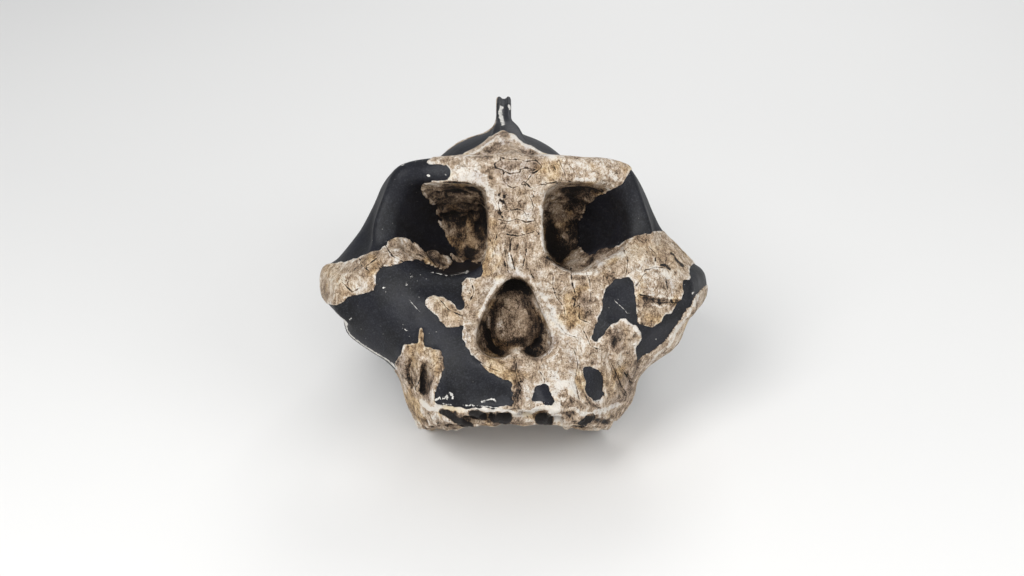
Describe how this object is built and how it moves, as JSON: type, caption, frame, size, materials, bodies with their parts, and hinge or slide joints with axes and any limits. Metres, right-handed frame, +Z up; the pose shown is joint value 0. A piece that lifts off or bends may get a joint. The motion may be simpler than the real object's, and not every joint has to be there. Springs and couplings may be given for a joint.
{
  "type": "fossil hominin skull",
  "caption": "Fossil hominin skull without a lower jaw: crested braincase, dished face with flared cheeks and empty tooth sockets, tan bone set in dark filler.",
  "frame": {"origin": "centre of the bounding box's bottom, on the surface that the skull rests on", "axes": "+Z up; +Y from the brow towards the back of the head; +X towards the skull's own left side"},
  "size_m": [0.1865, 0.2208, 0.1388],
  "materials": {
    "fossil_bone": "matte tan to brown fossil bone with pits and hairline cracks",
    "dark_filler": "satin blue-black filler with pale scratches and chips"
  },
  "bodies": {
    "root": {"brow_bone": "fossil_bone", "face_bone": "fossil_bone", "right_cheekbone": "fossil_bone", "right_parietal_fragment": "fossil_bone", "occipital_fragment": "fossil_bone", "filler": "dark_filler", "left_incisor_filler": "dark_filler", "left_premolar_filler": "dark_filler"}
  },
  "joints": []
}
